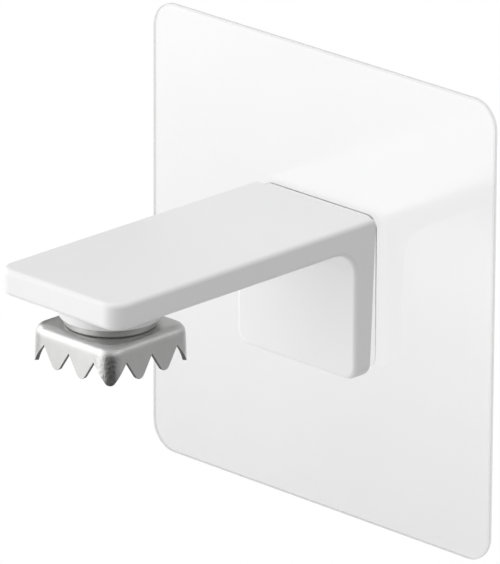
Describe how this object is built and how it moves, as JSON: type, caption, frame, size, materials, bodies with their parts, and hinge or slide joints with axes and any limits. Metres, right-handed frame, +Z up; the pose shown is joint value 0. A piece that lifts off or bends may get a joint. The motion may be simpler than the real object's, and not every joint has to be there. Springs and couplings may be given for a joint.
{
  "type": "magnetic soap holder",
  "caption": "Wall bracket on a clear adhesive film, with a pot magnet under the end of its arm holding a square toothed steel cap that is pressed into a bar of soap.",
  "frame": {"origin": "centre of the adhesive face that goes on the wall", "axes": "+Y into the wall, +Z up, and the arm reaches away from the wall along -Y"},
  "size_m": [0.0888, 0.0701, 0.091],
  "materials": {
    "white_plastic": "satin moulded white",
    "clear_gel": "clear soft gel",
    "clear_film": "clear with a smooth gloss",
    "clear_adhesive": "clear and tacky",
    "plated_steel": "nickel plated",
    "magnet": "nickel plated, slightly dull",
    "satin_stainless": "drawn sheet, satin polished"
  },
  "bodies": {
    "holder": {"bracket": "white_plastic", "bonding_pad": "clear_gel", "film": "clear_film", "adhesive_layer": "clear_adhesive", "magnet_pot": "plated_steel", "magnet_disc": "magnet"},
    "cap": {"soap_cap": "satin_stainless"}
  },
  "joints": [
    {"name": "cap_pull_off", "type": "slide", "parent": "holder", "child": "cap", "axis": [0, 0, -1], "range_m": [0, 0.03]}
  ]
}
